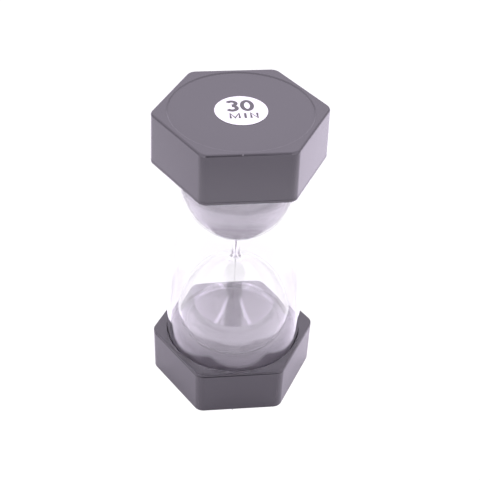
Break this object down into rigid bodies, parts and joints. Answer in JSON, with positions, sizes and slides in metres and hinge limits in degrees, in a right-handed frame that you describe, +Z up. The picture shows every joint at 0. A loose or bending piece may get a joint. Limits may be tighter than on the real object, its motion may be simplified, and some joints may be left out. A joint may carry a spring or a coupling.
{
  "type": "sand timer",
  "caption": "Sealed sand timer: a pair of glass bulbs inside a clear round tube, held between two hexagonal black end caps, with a round duration label on each end.",
  "frame": {"origin": "centre of the face the timer stands on", "axes": "+Z up along the timer's axis; X runs through two opposite corners of the caps, Y through two opposite flats"},
  "size_m": [0.0838, 0.0738, 0.16],
  "materials": {
    "cap_plastic": "gloss",
    "clear_plastic": "gloss",
    "bulb_glass": "polished",
    "sand": "matte",
    "foam": "matte",
    "plug_rubber": "matte",
    "label_paper": "satin"
  },
  "bodies": {
    "root": {"bottom_cap": "cap_plastic", "top_cap": "cap_plastic", "bottom_plate": "cap_plastic", "top_plate": "cap_plastic", "outer_tube": "clear_plastic", "glass_bulbs": "bulb_glass", "filler_plug": "plug_rubber", "sand_upper": "sand", "sand_stream": "sand", "sand_lower": "sand", "bottom_pad": "foam", "top_pad": "foam", "bottom_ring": "foam", "top_ring": "foam", "bottom_label": "label_paper", "top_label": "label_paper"}
  },
  "joints": []
}
